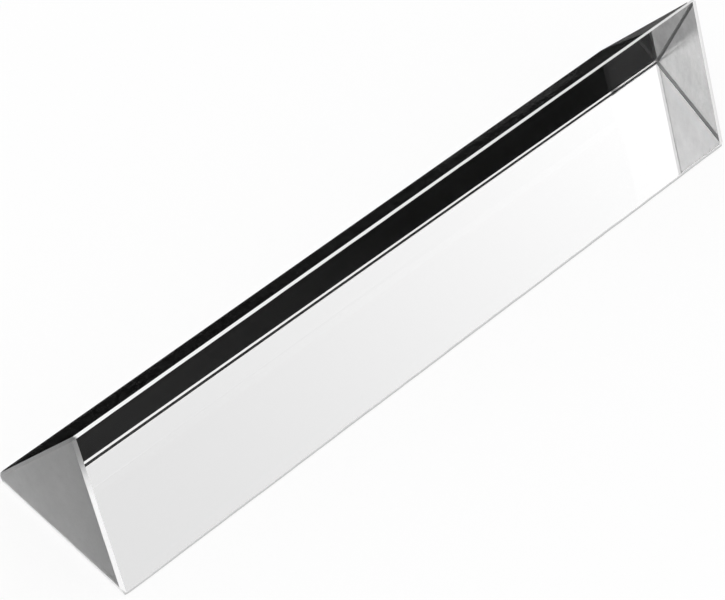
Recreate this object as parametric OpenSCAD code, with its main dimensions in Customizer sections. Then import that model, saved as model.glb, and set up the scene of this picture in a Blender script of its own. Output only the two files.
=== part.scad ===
// Equilateral glass prism for bending and splitting light.
// One solid bar of clear optical glass that lies on one of its three polished long faces.
// X runs along the bar, Z is up, and the origin is at the middle of the face that it lies on.
// Sizes are in millimetres.

/* [Bar] */
// Length of the bar, from ground end to ground end
bar_len = 150; // [40:1:300]
// Width of the face that the bar lies on, between its sharp edges before they are bevelled
base_w = 30; // [15:0.5:60]
// Angle at the ridge, between the two upper faces, in degrees
ridge_angle = 60; // [45:1:90]

/* [Bevels] */
// How far each long bevel comes in over the two faces beside it
long_bevel = 0.4; // [0.2:0.05:1.5]
// How far each end bevel comes in, over the long face and over the end alike
end_bevel = 0.5; // [0.2:0.05:1.5]

/* [Hidden] */
// Height of the sharp ridge over the face that the bar lies on
ridge_h = base_w / 2 / tan(ridge_angle / 2);
// Sharp corners of the cross-section, in turn: front edge, back edge, ridge
corners = [[-base_w / 2, 0], [base_w / 2, 0], [0, ridge_h]];
// How far a strip that is ground off stands clear of the glass around it
spill = 1;

// Corner number i, counted round and round
function corner(i) = corners[i % len(corners)];

// Point on the outline that lies one long bevel away from corner i, on the way to corner j
function bevel_point(i, j) =
    let (way = corner(j) - corner(i))
    corner(i) + way * long_bevel / norm(way);

// Outline of the bar: the triangle of its three long faces, with each corner cut off
module section() {
    polygon([
        for (i = [0 : len(corners) - 1], side = [len(corners) - 1, 1])
            bevel_point(i, i + side)
    ]);
}

// Strip that is ground off the upper end of an upright bar, along the long face after corner i
module end_strip(i) {
    face_run = corner(i + 1) - corner(i);
    end_z = bar_len / 2;
    translate(corner(i))
        rotate(atan2(face_run[1], face_run[0]))
            translate([-spill, 0, 0])
                rotate([90, 0, 90])
                    linear_extrude(norm(face_run) + 2 * spill)
                        polygon([
                            [-spill, end_z - end_bevel - spill],
                            [end_bevel + spill, end_z + spill],
                            [-spill, end_z + spill]
                        ]);
}

// The bar: its three long faces and its two ends, with every edge bevelled
module prism() {
    color("gainsboro", 0.6)
        rotate([90, 0, 90])
            difference() {
                linear_extrude(bar_len, center = true)
                    section();
                for (i = [0 : len(corners) - 1], end = [0, 1])
                    mirror([0, 0, end])
                        end_strip(i);
            }
}

prism();
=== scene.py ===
# A clear glass prism lying on one long face: its polished and ground skin, the studio and the camera.
import math

import bpy
import numpy as np
from mathutils import Matrix, Vector


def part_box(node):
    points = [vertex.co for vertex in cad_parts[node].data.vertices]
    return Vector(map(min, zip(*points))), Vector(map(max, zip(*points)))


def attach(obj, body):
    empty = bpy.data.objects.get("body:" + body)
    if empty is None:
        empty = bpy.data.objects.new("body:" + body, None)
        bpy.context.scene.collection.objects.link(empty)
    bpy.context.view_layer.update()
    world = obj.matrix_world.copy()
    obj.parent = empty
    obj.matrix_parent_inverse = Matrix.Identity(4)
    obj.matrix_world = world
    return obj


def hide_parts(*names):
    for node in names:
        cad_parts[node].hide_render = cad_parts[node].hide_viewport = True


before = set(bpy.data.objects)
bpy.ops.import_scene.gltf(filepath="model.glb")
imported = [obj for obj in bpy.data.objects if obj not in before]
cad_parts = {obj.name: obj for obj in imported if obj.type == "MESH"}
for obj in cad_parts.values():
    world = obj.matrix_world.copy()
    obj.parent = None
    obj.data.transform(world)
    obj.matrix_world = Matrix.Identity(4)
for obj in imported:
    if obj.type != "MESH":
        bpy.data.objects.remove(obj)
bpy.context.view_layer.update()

MM = 0.001

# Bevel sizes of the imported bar, in metres
LONG_BEVEL = 0.4 * MM
END_BEVEL = 0.5 * MM

# The bar's length and its face width between sharp corners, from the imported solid
box_lo, box_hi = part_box("prism")
BAR_LEN = box_hi.x - box_lo.x
FACE_W = box_hi.y - box_lo.y + LONG_BEVEL
RIDGE_H = FACE_W * math.sqrt(3) / 2
# Sharp corners of the section, in turn: front, back and ridge, as Y and Z
CORNERS = np.array([[-FACE_W / 2, 0.0], [FACE_W / 2, 0.0], [0.0, RIDGE_H]])

# Faces of the mesh: across a long face, across a bevel, along the bar, and rings of points on each end
ACROSS = 12
BEVEL_FACES = 3
ALONG = 300
RINGS = 6

# Share by which hand grinding widens the bevels here and there: at the three corners, and at the ends
UNEVEN = np.array([0.3, 0.05, 0.15])
END_UNEVEN = 0.15
# Waves in which a bevel wanders: their lengths, their shares, and their shifts for each step of a seed
WAVES = np.array([31.0, 13.0, 5.3, 2.3]) * MM
WAVE_SHARE = np.array([0.4, 0.3, 0.2, 0.1])
WAVE_SHIFT = np.array([1.7, 2.9, 4.3, 6.1])
# First seeds of the end bevels: along the rims, and along the long faces at the left and the right end
RIM_SEED = 11
FACE_SEEDS = (21, 31)

# Long bevels as shares of LONG_BEVEL: rows are the three corners, and columns how far the bevel comes over
# the face before the corner and over the face after it, going from base to back face to front face
OVER_SIDE = np.array([[1.7, 0.55], [1.07, 1.195], [1.0, 1.0]])
# Share by which the long bevels widen from the right end of the bar to the left, at the three corners
WIDENS = np.array([0.0, 0.25, 0.45])

# End bevels as shares of END_BEVEL, over the long faces and over the ends: rows are the left and right end,
# and columns the base, back and front faces
OVER_FACE = np.array([[0.8, 1.0, 1.0], [0.85, 0.85, 2.0]])
OVER_END = np.array([[2.4, 1.0, 1.0], [0.85, 0.85, 0.5]])
# How much of each side the small cut at the corner of an end's rim takes
RIM_CUT = LONG_BEVEL / 5

# How far the three corners of the left end are rubbed round beyond their bevels
BLUNT = np.array([0.1, 1.2, 0.0]) * MM
# Length of the bar over which that rubbing dies away, and rows of faces in which it is as matt as the end
BLUNT_RUN = 2.0 * MM
BLUNT_ROWS = 3
# How far the lines that divide a bevel stand out to make a rubbed corner round, as a share of the rubbing
ROUND = 0.257
# Share of the rubbing that is left at the rims of the left and right ends
RIM_RUBBED = np.array([0.8, 0.0])

# White bloom of the ridge's bevel, at the left end of the bar and at the right
BLOOM_RIDGE = (0.9, 0.6)
# Bloom of the long front bevel, at its border with the front face, at its thirds, and at the base: greyer
# towards the base, painted shade where the bevel turns down to the floor
BLOOM_FRONT_SHADED = (0.85, 0.65, 0.4, 0.35)
# Share of the left end's front bevel, from the ridge down, over which its white bloom comes in: above that
# it stays grey with painted shade
SHADE_TO_BLOOM_RUN = 0.28
# Bloom of the left end beside the front face, greyed there by painted shade, from where it rises evenly to
# the back corner
BLOOM_LEFT_SHADED = 0.74
# Bloom of the right end's front bevel, at its border with the front face and at its border with the end
BLOOM_RIGHT = (0.82, 0.65)

# Refractive index of crown glass
GLASS_IOR = 1.525
# Rubbed border of the polished faces: its width, the size of its specks, and their greatest roughness. Real
# rubbing marks are some hundredths of a millimetre and wouldn't show, so the specks are drawn coarser
RUBBED_WIDTH = 0.8 * MM
SPECK = 0.4 * MM
SPECK_ROUGH = 0.12
# Ground glass: its tone without white bloom, the size of its cloudy patches, and the width and depth of the
# grit's pits. Real pits are about 0.03 mm wide and wouldn't show, so they are drawn ten times as wide
BARE_TONE = "#8e8e8e"
PATCH = 6 * MM
PIT = 0.3 * MM
PIT_DEPTH = 0.05 * MM

# Which finish a face of the bar has, by its place in the material list
POLISHED, WHITE, CLEAR, GREY, MATT_END, FINE_END = range(6)

# Ground finishes, in the order of the material list after the polished one
GROUND_FINISHES = (
    # Bevel ground with coarse grit: the white bloom of broken glass, which hides what lies behind it
    dict(name="white_ground_bevel", thin=0.95, smooth=0.6, rough=0.8, clear=0.0, through=0.0, relief=0.1),
    # Bevel rubbed nearly clear: it mirrors and bends light almost as a polished face does
    dict(name="clear_rubbed_bevel", thin=0.87, smooth=0.0, rough=0.05, clear=1.0, through=0.0, relief=0.0),
    # Bevel ground with fine grit: a grey line when it is seen through the glass
    dict(name="grey_ground_bevel", thin=0.87, smooth=0.35, rough=0.5, clear=1.0, through=0.0, relief=0.1),
    # Matt left end: a soft pale grey with faint clouds, and light from inside the bar glows through it
    dict(name="matt_ground_end", thin=0.88, smooth=0.6, rough=0.8, clear=0.75, through=0.8, relief=0.2),
    # Finer right end: brighter and more clouded, with a blurred mirror image when seen through the bar
    dict(name="fine_ground_end", thin=0.61, smooth=0.15, rough=0.25, clear=1.0, through=0.5, relief=0.05))

# The floor: half its side in metres, its height, and the share of it that is plain white to the eye
FLOOR_HALF = 6.0
FLOOR_Z = -0.3 * MM
FLOOR_PLAIN = 0.85

# Height and left side of the dark table
TABLE_Z = -0.1 * MM
TABLE_LEFT = -0.4
# Level direction along which painted light makes the table paler, and the distances along it between which
# it does
PAINTED_LIGHT_WAY = (-0.882, -0.466, 0.0)
PAINTED_LIGHT_FROM = -38 * MM
PAINTED_LIGHT_TO = 62 * MM
# Sheets of the dark table: right, front and back sides in metres, and tones
TABLE_SHEETS = (
    # In front, mirrored faintly in the front face: paler to the left with a painted pool of light
    dict(name="table_front", right=0.4, front=-0.4, back=-0.2, dark="#202020", painted_lit="#9b9b9b"),
    # Under the bar, seen through its base
    dict(name="table_under", right=0.4, front=-0.2, back=0.0155, dark="#202020"),
    # Behind, mirrored in the back face: nearly black, and it ends soon after the bar does
    dict(name="table_back", right=0.1, front=0.0155, back=0.4, dark="#0d0d0d"))

# Level of the even white sky
SKY_LEVEL = 1.0
# Soft patches of the sky: the azimuth and elevation of the middle, where the patch starts to fade and where
# it ends, all in degrees, and the level that it adds
SKY_PATCHES = (
    # Dims what the near end of the front face shows
    (38, 63, 5, 25, -0.31),
    # Lifts what its far end shows
    (70, 40, 10, 50, 0.15),
    # Lights the right end from outside, and the left end through the bar
    (90, 20, 5, 35, 0.55),
    # Dims what the right end mirrors
    (-57, 50, 5, 25, -0.2))


def linear(hex_colour):
    """A colour written as sRGB hex, as linear red, green, blue and alpha."""
    srgb = np.array([int(hex_colour[i:i + 2], 16) for i in (1, 3, 5)]) / 255
    low = srgb / 12.92
    high = ((srgb + 0.055) / 1.055) ** 2.4
    return (*np.where(srgb <= 0.04045, low, high), 1.0)


def add(tree, kind, inputs=None, **settings):
    """Adds one node, sets its properties, and sets or links its inputs."""
    node = tree.nodes.new(kind)
    for name, value in settings.items():
        setattr(node, name, value)
    for name, value in (inputs or {}).items():
        socket = node.inputs[name]
        if isinstance(value, bpy.types.NodeSocket):
            tree.links.new(value, socket)
        else:
            socket.default_value = value
    return node


def new_material(name):
    """An empty node material and its node tree."""
    material = bpy.data.materials.new(name)
    material.use_nodes = True
    material.node_tree.nodes.clear()
    return material, material.node_tree


def wobble(t, seed):
    """A ground edge's unevenness from 0 to 1 along t: sines of unlike wavelengths, added and halved."""
    total = (np.sin(2 * math.pi * t[..., None] / WAVES + seed * WAVE_SHIFT) * WAVE_SHARE).sum(-1)
    return 0.5 + 0.5 * total


def crowded(steps):
    """Fractions from 0 to 1 that crowd at both ends: half of one minus the cosine of an even half turn."""
    return 0.5 - 0.5 * np.cos(np.linspace(0, math.pi, steps + 1))


def with_bevels(faces, rubbed):
    """The three faces' points side by side, with columns between them that divide each bevel evenly.

    These columns are moved out from the middle of the section where the corner is rubbed, to make it round.
    """
    part = np.arange(1, BEVEL_FACES)[:, None] / BEVEL_FACES
    outward = CORNERS - CORNERS.mean(0)
    outward /= np.linalg.norm(outward, axis=1)[:, None]
    strips = []
    for k, c in ((0, 1), (1, 2), (2, 0)):
        bevel = faces[k][:, -1:] * (1 - part) + faces[c][:, :1] * part
        bevel[..., -2:] += rubbed[..., None] * ROUND * BLUNT[c] * outward[c]
        strips += [faces[k], bevel]
    return np.concatenate(strips, 1)


def bar_skin():
    """The bar's skin: a grid of points, the middles of the two ends, and the long faces' ways to the edge.

    The grid's rows follow X, and its columns go round the section. A long face is its first corner plus a
    run along the face, from one bevel border to the next, and a length along X, from one end's border to
    the other's. The borders wander. More columns divide each bevel, and stand out from it where it is
    rubbed round. The first and last of these rows are drawn in by the end bevels to make the rims of the
    two ends, and rows inside a rim are the rim shrunk towards its middle.
    """
    half = BAR_LEN / 2
    middle = CORNERS.mean(0)
    x = np.linspace(-half, half, ALONG + 1)[:, None]
    f = crowded(ACROSS)
    fade = np.clip(1 - (x + half) / BLUNT_RUN, 0, 1) ** 2
    body, rims, edge = [], [], []
    for k in range(3):
        ends = [k, (k + 1) % 3]
        start = CORNERS[k]
        way = (CORNERS[ends[1]] - start) / FACE_W
        inward = np.array([-way[1], way[0]])
        # The face's long borders, which the bevels of its two corners leave
        reach = [OVER_SIDE[k, 1], OVER_SIDE[ends[1], 0]]
        widen = [1 + WIDENS[c] * (0.5 - x / BAR_LEN) for c in ends]
        bevels = [LONG_BEVEL * r * (w + UNEVEN[c] * wobble(x, c)) + BLUNT[c] * fade
                  for r, w, c in zip(reach, widen, ends)]
        first, last = bevels[0], FACE_W - bevels[1]
        run = first + (last - first) * f
        # Its short borders, which the end bevels leave
        left, right = [END_BEVEL * over * (1 + END_UNEVEN * wobble(f * FACE_W, seed + k))
                       for over, seed in zip(OVER_FACE[:, k], FACE_SEEDS)]
        xs = left - half + (BAR_LEN - left - right) * (x + half) / BAR_LEN
        body.append(np.dstack([xs, start + run[..., None] * way]))
        to_side = np.minimum(run - first, last - run)
        to_end = np.minimum(xs + half - left, half - right - xs)
        edge.append(np.minimum(to_side, to_end))
        # Its sides of the two rims, each from one small corner cut to the next
        before, own, after = OVER_END[:, [k - 1, k, (k + 1) % 3]].T * END_BEVEL
        cut = [(beside + own / 2) / math.sin(math.pi / 3) + RIM_CUT + BLUNT[c] * RIM_RUBBED
               for beside, c in zip((before, after), ends)]
        rim_run = cut[0][:, None] + (FACE_W - cut[0] - cut[1])[:, None] * f
        inset = own[:, None] * (1 + END_UNEVEN * wobble(rim_run, RIM_SEED + k))
        rims.append(start + rim_run[..., None] * way + inset[..., None] * inward)
    body = with_bevels(body, fade)
    rims = with_bevels(rims, RIM_RUBBED[:, None])
    edge = np.concatenate([np.pad(part, ((RINGS, RINGS), (0, BEVEL_FACES - 1))) for part in edge], 1)
    shrink = np.linspace(0, 1, RINGS + 1)[1:, None, None]
    caps = [np.dstack([np.full((RINGS, rim.shape[0]), side * half), middle + shrink * (rim - middle)])
            for side, rim in zip((-1, 1), rims)]
    grid = np.concatenate([caps[0], body, caps[1][::-1]])
    poles = np.array([[-half, *middle], [half, *middle]])
    return grid, poles, edge


def skin_finishes(rows):
    """The finish of each face of the skin's grid, which has the given rows of points."""
    # Round the section, in turn: base face, back bevel, back face, ridge bevel, front face, front bevel
    widths = [ACROSS, BEVEL_FACES] * 3
    kind = np.tile(np.repeat([POLISHED, CLEAR, POLISHED, WHITE, POLISHED, WHITE], widths), (rows - 1, 1))
    # The left end, its bevel, and its rubbed back corner
    kind[:RINGS - 1] = MATT_END
    kind[RINGS - 1] = np.repeat([WHITE, MATT_END, MATT_END, MATT_END, WHITE, WHITE], widths)
    kind[RINGS:RINGS + BLUNT_ROWS, ACROSS:ACROSS + BEVEL_FACES] = MATT_END
    # The right end's bevel, and the right end
    kind[-RINGS] = np.repeat([GREY, GREY, GREY, WHITE, WHITE, WHITE], widths)
    kind[1 - RINGS:] = FINE_END
    return kind


def bevel_bloom_and_shade(rows, columns):
    """The bevels' whiteness over the skin's grid, with painted shade: full, except along the ridge and
    round the front face.
    """
    # First columns of the back and front faces
    back, front = ACROSS + BEVEL_FACES, 2 * (ACROSS + BEVEL_FACES)
    ridge = slice(back + ACROSS, front + 1)
    ridge_lines = slice(back + ACROSS + 1, front)
    front_face = slice(front, front + ACROSS + 1)
    left_bevel = slice(RINGS - 1, RINGS + 1)
    bloom_and_shade = np.ones((rows, columns))
    bloom_and_shade[RINGS:-RINGS, ridge] = np.linspace(*BLOOM_RIDGE, rows - 2 * RINGS)[:, None]
    # Painted shade: the long front bevel greys towards the base
    bloom_and_shade[RINGS:-RINGS, np.arange(-BEVEL_FACES, 1)] = BLOOM_FRONT_SHADED
    # Painted shade: the left end's front bevel is grey near the ridge
    bloom_and_shade[left_bevel, front_face] = np.clip(crowded(ACROSS) / SHADE_TO_BLOOM_RUN, 0, 1) ** 3
    bloom_and_shade[left_bevel, ridge_lines] = 0.0
    bloom_and_shade[[-RINGS - 1, -RINGS], front_face] = np.array(BLOOM_RIGHT)[:, None]
    return bloom_and_shade


def make_bar():
    """The bar as one closed mesh: quads over the skin's grid, and a fan of triangles in each end."""
    grid, poles, edge = bar_skin()
    rows, columns = grid.shape[:2]
    index = np.arange(rows * columns).reshape(rows, columns)
    beside = np.roll(index, -1, 1)
    quads = np.stack([index[:-1], beside[:-1], beside[1:], index[1:]], -1).reshape(-1, 4)
    pole = np.full(columns, rows * columns)
    left_fan = np.stack([pole, beside[0], index[0]], -1)
    right_fan = np.stack([pole + 1, index[-1], beside[-1]], -1)
    fans = np.concatenate([left_fan, right_fan])
    points = np.concatenate([grid.reshape(-1, 3), poles])
    mesh = bpy.data.meshes.new("prism_glass")
    mesh.from_pydata(points, [], quads.tolist() + fans.tolist())
    quad_kind = skin_finishes(rows).ravel()
    fan_kind = np.repeat([MATT_END, FINE_END], columns)
    mesh.polygons.foreach_set("material_index", np.concatenate([quad_kind, fan_kind]))
    to_edge = mesh.attributes.new("to_edge", "FLOAT", "POINT")
    to_edge.data.foreach_set("value", np.append(edge.ravel(), [0.0] * 2))
    # The left end's bloom follows the depth behind the front face, from 0 on it to 1 at the back corner:
    # painted shade, darker beside the front face
    depth = 0.5 + (points @ [0, math.sqrt(3) / 2, -0.5]) / RIDGE_H
    end_painted_shade = BLOOM_LEFT_SHADED + (1 - BLOOM_LEFT_SHADED) * depth
    line_bloom_and_shade = np.append(bevel_bloom_and_shade(rows, columns).ravel(), [1.0] * 2)
    # Each face corner has its own bloom, because a bevel and an end that meet are ground apart
    vertex = np.concatenate([quads.ravel(), fans.ravel()])
    finish = np.concatenate([np.repeat(quad_kind, 4), np.repeat(fan_kind, 3)])
    ground = np.select(
        [finish == WHITE, finish == MATT_END], [line_bloom_and_shade[vertex], end_painted_shade[vertex]], 1.0)
    # This attribute holds the ground glass's white bloom, and painted shade on the front bevels and the
    # left end
    bloom_and_shade = mesh.attributes.new("bloom_and_shade", "FLOAT", "CORNER")
    bloom_and_shade.data.foreach_set("value", ground)
    mesh.update()
    bar = bpy.data.objects.new("prism_glass", mesh)
    bpy.context.scene.collection.objects.link(bar)
    return bar


def polished_glass():
    """Crown glass, polished: clear, with sharp reflections, and speckled with rubbing along its edges."""
    material, tree = new_material("polished_crown_glass")
    place = add(tree, "ShaderNodeTexCoord")
    to_edge = add(tree, "ShaderNodeAttribute", attribute_name="to_edge")
    rubbed = add(tree, "ShaderNodeMapRange", {
        "Value": to_edge.outputs["Fac"], "From Min": 0.0, "From Max": RUBBED_WIDTH,
        "To Min": 1.0, "To Max": 0.0})
    specks = add(tree, "ShaderNodeTexNoise", {
        "Vector": place.outputs["Object"], "Scale": 1 / SPECK, "Detail": 3.0})
    worn = add(tree, "ShaderNodeMath", {
        0: rubbed.outputs[0], 1: specks.outputs["Fac"]}, operation="MULTIPLY")
    rough = add(tree, "ShaderNodeMapRange", {
        "Value": worn.outputs[0], "From Min": 0.3, "From Max": 0.8, "To Min": 0.0, "To Max": SPECK_ROUGH})
    shader = add(tree, "ShaderNodeBsdfPrincipled", {
        "Base Color": linear("#ffffff"), "Roughness": rough.outputs[0], "IOR": GLASS_IOR,
        "Transmission Weight": 1.0})
    add(tree, "ShaderNodeOutputMaterial", {"Surface": shader.outputs[0]})
    return material


def ground_glass(name, thin, smooth, rough, clear, through, relief):
    """Glass ground with loose grit: a white bloom that scatters light back, and lets some spread through.

    thin is the least share of bloom in its cloudy patches, and smooth and rough are its least and greatest
    roughness. clear is the share of the surface that stays see-through, through the share of light that
    crosses it and spreads, and relief how strongly the grit's pits stand out.
    """
    material, tree = new_material(name)
    place = add(tree, "ShaderNodeTexCoord")
    patches = add(tree, "ShaderNodeTexNoise", {
        "Vector": place.outputs["Object"], "Scale": 1 / PATCH, "Detail": 5.0, "Roughness": 0.85})
    grit = add(tree, "ShaderNodeTexNoise", {
        "Vector": place.outputs["Object"], "Scale": 1 / PIT, "Detail": 2.0})
    cloudy = add(tree, "ShaderNodeMapRange", {
        "Value": patches.outputs["Fac"], "From Min": 0.35, "From Max": 0.65, "To Min": thin, "To Max": 1.0})
    # Bloom of the ground faces, which also carries painted shade on the front bevels and the left end
    bloom_and_shade = add(tree, "ShaderNodeAttribute", attribute_name="bloom_and_shade")
    white = add(tree, "ShaderNodeMath", {
        0: cloudy.outputs[0], 1: bloom_and_shade.outputs["Fac"]}, operation="MULTIPLY")
    tone = add(tree, "ShaderNodeMix", {
        "Factor": white.outputs[0], 6: linear(BARE_TONE), 7: linear("#ffffff")}, data_type="RGBA")
    matt = add(tree, "ShaderNodeMapRange", {
        "Value": grit.outputs["Fac"], "From Min": 0.3, "From Max": 0.7, "To Min": smooth, "To Max": rough})
    bump = add(tree, "ShaderNodeBump", {
        "Height": grit.outputs["Fac"], "Strength": relief, "Distance": PIT_DEPTH})
    back = add(tree, "ShaderNodeBsdfPrincipled", {
        "Base Color": tone.outputs[2], "Roughness": matt.outputs[0], "IOR": GLASS_IOR,
        "Transmission Weight": clear, "Normal": bump.outputs[0]})
    across = add(tree, "ShaderNodeBsdfTranslucent", {"Color": tone.outputs[2], "Normal": bump.outputs[0]})
    both = add(tree, "ShaderNodeMixShader", {0: through, 1: back.outputs[0], 2: across.outputs[0]})
    add(tree, "ShaderNodeOutputMaterial", {"Surface": both.outputs[0]})
    return material


def stage_sheet(name, left, right, front, back, z, material):
    """A level rectangular sheet of the stage, between the given sides in X and Y."""
    mesh = bpy.data.meshes.new(name)
    ring = [(left, front, z), (right, front, z), (right, back, z), (left, back, z)]
    mesh.from_pydata(ring, [], [(0, 1, 2, 3)])
    mesh.materials.append(material)
    sheet = bpy.data.objects.new(name, mesh)
    bpy.context.scene.collection.objects.link(sheet)
    return sheet


def white_floor():
    """A matt white floor: partly lit, so that it keeps the shadow, and partly plain white to the eye."""
    material, tree = new_material("white_floor")
    ray = add(tree, "ShaderNodeLightPath")
    seen = ray.outputs["Is Camera Ray"]
    for kind in ("Is Glossy Ray", "Is Transmission Ray"):
        either = add(tree, "ShaderNodeMath", {0: seen, 1: ray.outputs[kind]}, operation="MAXIMUM")
        seen = either.outputs[0]
    share = add(tree, "ShaderNodeMath", {0: seen, 1: FLOOR_PLAIN}, operation="MULTIPLY")
    matt = add(tree, "ShaderNodeBsdfDiffuse", {"Color": linear("#f8f8f8")})
    plain = add(tree, "ShaderNodeEmission", {"Strength": 1.0})
    both = add(tree, "ShaderNodeMixShader", {
        0: share.outputs[0], 1: matt.outputs[0], 2: plain.outputs[0]})
    add(tree, "ShaderNodeOutputMaterial", {"Surface": both.outputs[0]})
    return material


def dark_table(name, dark, painted_lit=None):
    """Matt dark card of one tone, or of one that goes evenly to a paler tone of painted light along a level
    direction.
    """
    material, tree = new_material(name)
    colour = linear(dark)
    if painted_lit:
        place = add(tree, "ShaderNodeTexCoord")
        along = add(tree, "ShaderNodeVectorMath", {
            0: place.outputs["Object"], 1: PAINTED_LIGHT_WAY}, operation="DOT_PRODUCT")
        tone = add(tree, "ShaderNodeMapRange", {
            "Value": along.outputs["Value"], "From Min": PAINTED_LIGHT_FROM, "From Max": PAINTED_LIGHT_TO,
            "To Min": linear(dark)[0], "To Max": linear(painted_lit)[0]})
        colour = tone.outputs[0]
    matt = add(tree, "ShaderNodeBsdfDiffuse", {"Color": colour})
    add(tree, "ShaderNodeOutputMaterial", {"Surface": matt.outputs[0]})
    return material


def heading(azimuth, elevation):
    """The unit vector that points azimuth degrees from +Y towards +X, and elevation degrees up."""
    a, e = math.radians(azimuth), math.radians(elevation)
    return Vector((math.sin(a) * math.cos(e), math.cos(a) * math.cos(e), math.sin(e)))


def studio_sky():
    """An even white sky with soft patches: each adds its level in a cone, and fades to a wider one."""
    world = bpy.data.worlds.new("studio")
    bpy.context.scene.world = world
    world.use_nodes = True
    tree = world.node_tree
    tree.nodes.clear()
    place = add(tree, "ShaderNodeTexCoord")
    level = SKY_LEVEL
    for azimuth, elevation, inner, outer, amount in SKY_PATCHES:
        near = add(tree, "ShaderNodeVectorMath", {
            0: place.outputs["Generated"], 1: heading(azimuth, elevation)}, operation="DOT_PRODUCT")
        patch = add(tree, "ShaderNodeMapRange", {
            "Value": near.outputs["Value"], "From Min": math.cos(math.radians(outer)),
            "From Max": math.cos(math.radians(inner)), "To Min": 0.0, "To Max": amount},
            interpolation_type="SMOOTHSTEP")
        total = add(tree, "ShaderNodeMath", {0: level, 1: patch.outputs[0]}, operation="ADD")
        level = total.outputs[0]
    sky = add(tree, "ShaderNodeBackground", {"Color": linear("#ffffff"), "Strength": level})
    add(tree, "ShaderNodeOutputWorld", {"Surface": sky.outputs[0]})


def place_camera(place, azimuth, elevation, roll, lens, sensor=36):
    """A camera at place that looks along a heading, rolled about its axis. Lens and sensor are in mm."""
    data = bpy.data.cameras.new("camera")
    data.sensor_width = sensor
    data.lens = lens
    camera = bpy.data.objects.new("camera", data)
    bpy.context.scene.collection.objects.link(camera)
    bpy.context.scene.camera = camera
    ahead = heading(azimuth, elevation)
    level = ahead.cross(Vector((0, 0, 1))).normalized()
    turn = Matrix.Rotation(math.radians(-roll), 3, ahead)
    right = turn @ level
    up = right.cross(ahead)
    camera.matrix_world = Matrix((right, up, -ahead)).transposed().to_4x4()
    camera.matrix_world.translation = place


bar = make_bar()
bar.data.materials.append(polished_glass())
for finish in GROUND_FINISHES:
    bar.data.materials.append(ground_glass(**finish))
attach(bar, "root")
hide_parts("prism")

stage_sheet("floor", -FLOOR_HALF, FLOOR_HALF, -FLOOR_HALF, FLOOR_HALF, FLOOR_Z, white_floor())
# The dark table is there for the glass alone: the camera sees the white floor through it
for card in TABLE_SHEETS:
    material = dark_table(card["name"], card["dark"], card.get("painted_lit"))
    table = stage_sheet(
        card["name"], TABLE_LEFT, card["right"], card["front"], card["back"], TABLE_Z, material)
    table.visible_camera = False
    table.visible_shadow = False
    table.visible_diffuse = False

studio_sky()
# The photograph's viewpoint, found by fitting the bar's corners and the lines seen through the glass
place_camera(
    place=Vector((-282.8, -178.5, 392.0)) * MM,
    azimuth=57.133, elevation=-49.637, roll=13.814, lens=151.339)
bpy.context.scene.view_settings.view_transform = "Standard"
